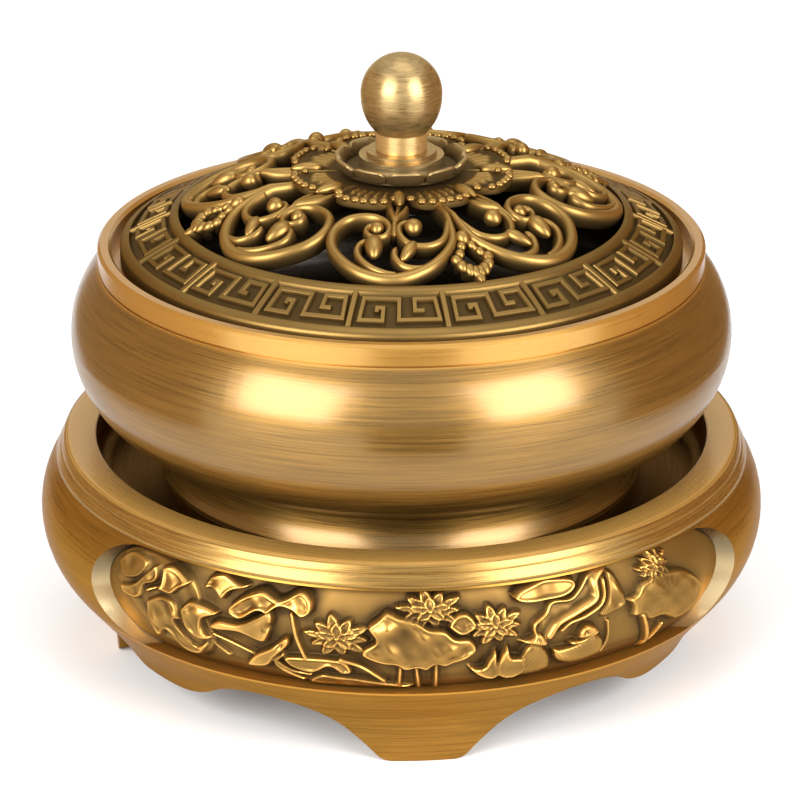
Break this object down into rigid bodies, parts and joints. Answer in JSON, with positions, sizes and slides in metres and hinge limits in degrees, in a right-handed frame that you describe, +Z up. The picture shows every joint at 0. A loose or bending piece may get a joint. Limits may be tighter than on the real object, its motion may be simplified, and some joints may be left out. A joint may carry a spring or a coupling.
{
  "type": "incense burner",
  "caption": "Round brass incense burner: a bulging bowl with a pierced domed lid and ball knob, set in a footed dish stand with relief panels; lid and bowl lift off.",
  "frame": {"origin": "on the burner's upright axis, at the level of the surface that its feet stand on", "axes": "+Z up along the axis of bowl, lid and knob; front relief panel and front foot at -Y; +X to the right seen from the front"},
  "size_m": [0.11, 0.1052, 0.0927],
  "materials": {
    "stand_brass": "satin brushed",
    "relief_brass": "antiqued, dark in the hollows",
    "bowl_brass": "brushed round the bowl",
    "lid_brass": "antiqued, worn bright on the edges",
    "knob_brass": "turned satin",
    "fixing_steel": "plain",
    "mat_fibre": "felted fibre"
  },
  "bodies": {
    "stand": {"base_stand": "stand_brass", "relief_panel_front": "relief_brass", "relief_panel_back": "relief_brass"},
    "bowl": {"bowl": "bowl_brass", "fire_mat": "mat_fibre"},
    "lid": {"lid": "lid_brass", "lotus_petals": "lid_brass", "lotus_cup": "knob_brass", "knob": "knob_brass", "knob_screw": "fixing_steel", "knob_washer": "fixing_steel"}
  },
  "joints": [
    {"name": "bowl_lift", "type": "slide", "parent": "stand", "child": "bowl", "axis": [0, 0, 1], "range_m": [0, 0.05]},
    {"name": "lid_lift", "type": "slide", "parent": "bowl", "child": "lid", "axis": [0, 0, 1], "range_m": [0, 0.06]}
  ]
}
